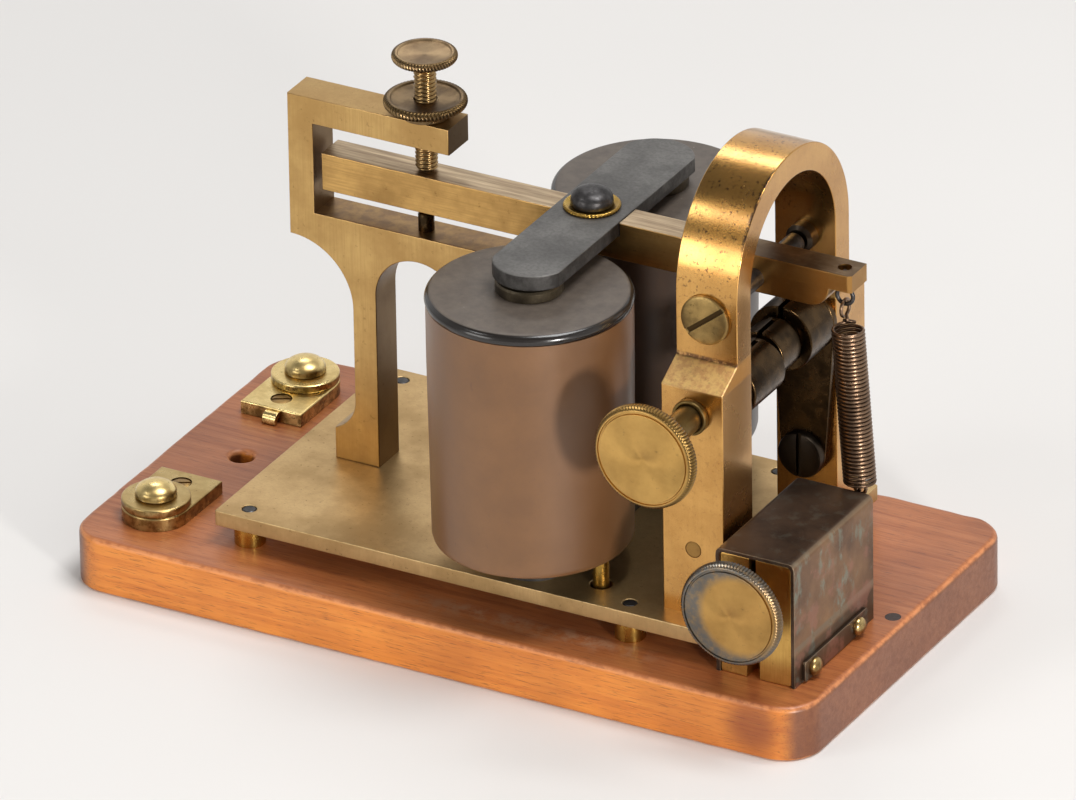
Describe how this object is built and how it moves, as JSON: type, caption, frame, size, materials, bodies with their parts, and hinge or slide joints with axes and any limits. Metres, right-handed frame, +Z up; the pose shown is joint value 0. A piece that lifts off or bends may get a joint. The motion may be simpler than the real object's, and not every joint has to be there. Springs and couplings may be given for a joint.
{
  "type": "telegraph sounder",
  "caption": "Telegraph sounder on a wooden board: electromagnet coils, sprung lever with armature, anvil with screw stop, arched trunnion standard and spring winder.",
  "frame": {"origin": "centre of the board's underside", "axes": "+X along the board towards the spring end, -Y the front with the knobs, +Z up"},
  "size_m": [0.152, 0.0885, 0.1028],
  "materials": {
    "board": "oiled mahogany, worn edges",
    "plug": "dark filler",
    "plate_brass": "aged, cross-milled edges",
    "anvil_brass": "satin, brushed upright",
    "lever_brass": "satin, brushed lengthways",
    "arch_brass": "lacquered, tarnish spots",
    "knob_brass": "turned face, knurled rim",
    "terminal_brass": "cast, dark speckles",
    "fastener_brass": "aged",
    "bronze": "dark patina, rope knurl",
    "sheet_patina": "brown patina with verdigris",
    "steel": "darkened",
    "iron": "blackened",
    "ebonite": "aged hard rubber, glossy rim",
    "coil_cover": "brown hard rubber, satin",
    "copper_wire": "copper-brown wire"
  },
  "bodies": {
    "base": {"base_board": "board", "board_plug": "plug", "base_plate": "plate_brass", "plate_posts": "knob_brass", "plate_screws": "steel", "anvil": "anvil_brass", "anvil_screws": "steel", "stop_pin": "bronze", "arch": "arch_brass", "arch_screws": "steel", "trunnion_screws": "fastener_brass", "magnet_yoke": "iron", "core_screws": "steel", "magnet_cores": "iron", "coil_lower_flanges": "ebonite", "coil_caps": "ebonite", "bobbin_tubes": "ebonite", "coil_windings": "copper_wire", "coil_sleeves": "coil_cover", "lead_bushings": "copper_wire", "lead_wires": "copper_wire", "front_terminal": "terminal_brass", "back_terminal": "terminal_brass", "terminal_screws": "steel", "front_binding_washer": "terminal_brass", "back_binding_washer": "terminal_brass", "winder_cover": "sheet_patina", "cover_strip": "sheet_patina", "cover_screws": "terminal_brass", "winder_blocks": "knob_brass", "block_screws": "steel", "arbor_yoke": "bronze", "yoke_screws": "fastener_brass", "arbor_bushing": "fastener_brass"},
    "lever": {"lever_bar": "lever_brass", "armature": "iron", "armature_screw": "steel", "armature_washer": "knob_brass", "lever_arbor": "steel", "lever_eye": "steel", "retractile_spring": "copper_wire"},
    "adjusting_shank": {"adjusting_screw": "bronze"},
    "adjusting_knob": {"adjusting_head": "bronze"},
    "lock_nut": {"lock_nut": "bronze"},
    "upper_arbor": {"upper_arbor": "fastener_brass", "upper_knob": "knob_brass"},
    "winder": {"winder_knob": "knob_brass", "winder_arbor": "fastener_brass", "winder_drum": "fastener_brass"},
    "cord": {"tension_cord": "copper_wire"},
    "front_binding": {"front_binding_screw": "terminal_brass"},
    "back_binding": {"back_binding_screw": "terminal_brass"}
  },
  "joints": [
    {"name": "lever_pivot", "type": "hinge", "parent": "base", "child": "lever", "pos_m": [0.047, 0, 0.0745], "axis": [0, 1, 0], "range_deg": [-0.85, 0], "stiffness_Nm_per_rad": 0.08, "springref_deg": 28.65},
    {"name": "adjust_lift", "type": "slide", "parent": "base", "child": "adjusting_shank", "axis": [0, 0, 1], "range_m": [0, 0.0024]},
    {"name": "adjust_turn", "type": "hinge", "parent": "adjusting_shank", "child": "adjusting_knob", "pos_m": [-0.0217, 0, 0.102], "axis": [0, 0, 1], "range_deg": [0, 1081]},
    {"name": "lock_nut_turn", "type": "hinge", "parent": "base", "child": "lock_nut", "pos_m": [-0.0217, 0, 0.0928], "axis": [0, 0, 1], "range_deg": [0, 45]},
    {"name": "upper_knob_turn", "type": "hinge", "parent": "base", "child": "upper_arbor", "pos_m": [0.0471, 0, 0.0579], "axis": [0, 1, 0], "continuous": true},
    {"name": "winder_turn", "type": "hinge", "parent": "base", "child": "winder", "pos_m": [0.0617, 0, 0.0277], "axis": [0, -1, 0], "range_deg": [0, 37], "deforming": ["retractile_spring"]},
    {"name": "cord_feed", "type": "slide", "parent": "base", "child": "cord", "axis": [0, 0, 1], "range_m": [0, 0.003]},
    {"name": "front_binding_turn", "type": "hinge", "parent": "base", "child": "front_binding", "pos_m": [-0.0641, -0.0276, 0.0151], "axis": [0, 0, 1], "range_deg": [0, 360]},
    {"name": "back_binding_turn", "type": "hinge", "parent": "base", "child": "back_binding", "pos_m": [-0.0641, 0.0276, 0.0151], "axis": [0, 0, 1], "range_deg": [0, 360]}
  ],
  "couplings": [
    {"joint": "adjust_turn", "follows": "adjust_lift", "rad_per_m": 7854},
    {"joint": "cord_feed", "follows": "winder_turn", "m_per_rad": 0.0046}
  ]
}
